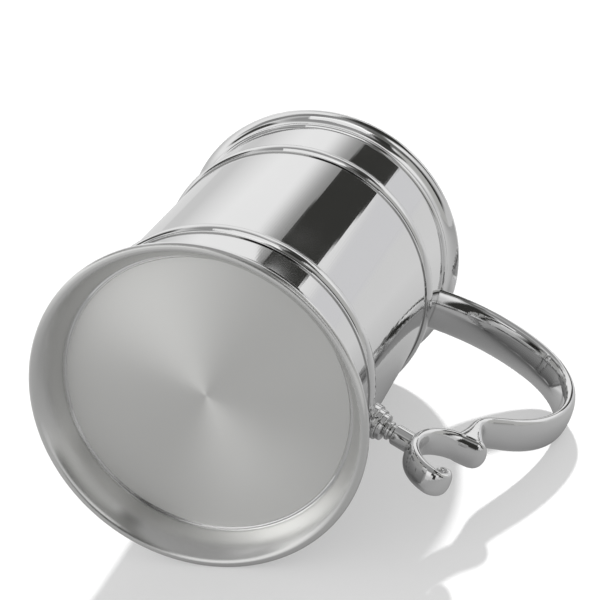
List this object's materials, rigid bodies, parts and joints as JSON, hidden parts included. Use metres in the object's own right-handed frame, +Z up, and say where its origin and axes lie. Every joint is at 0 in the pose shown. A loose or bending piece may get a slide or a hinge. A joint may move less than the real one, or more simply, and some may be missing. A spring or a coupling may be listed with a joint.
{
  "type": "tankard",
  "caption": "Straight-sided polished metal tankard on a spreading foot, with banded barrel, flared rim and a broken double-scroll strap handle on a turned strut.",
  "frame": {"origin": "centre of the foot's land, on the surface that the tankard stands on", "axes": "+Z up along the barrel's axis, +X out through the handle"},
  "size_m": [0.1441, 0.098, 0.123],
  "materials": {
    "polished_pewter": "mirror polished",
    "satin_pewter": "satin, turned on a lathe"
  },
  "bodies": {
    "root": {"barrel": "polished_pewter", "base_plate": "satin_pewter", "foot_ring": "satin_pewter", "lower_band": "polished_pewter", "upper_band": "polished_pewter", "rim_astragal": "polished_pewter", "rim_lip": "polished_pewter", "handle_grip": "polished_pewter", "handle_scroll": "polished_pewter", "strut_pad": "polished_pewter", "strut_spindle": "polished_pewter", "strut_socket": "polished_pewter"}
  },
  "joints": []
}
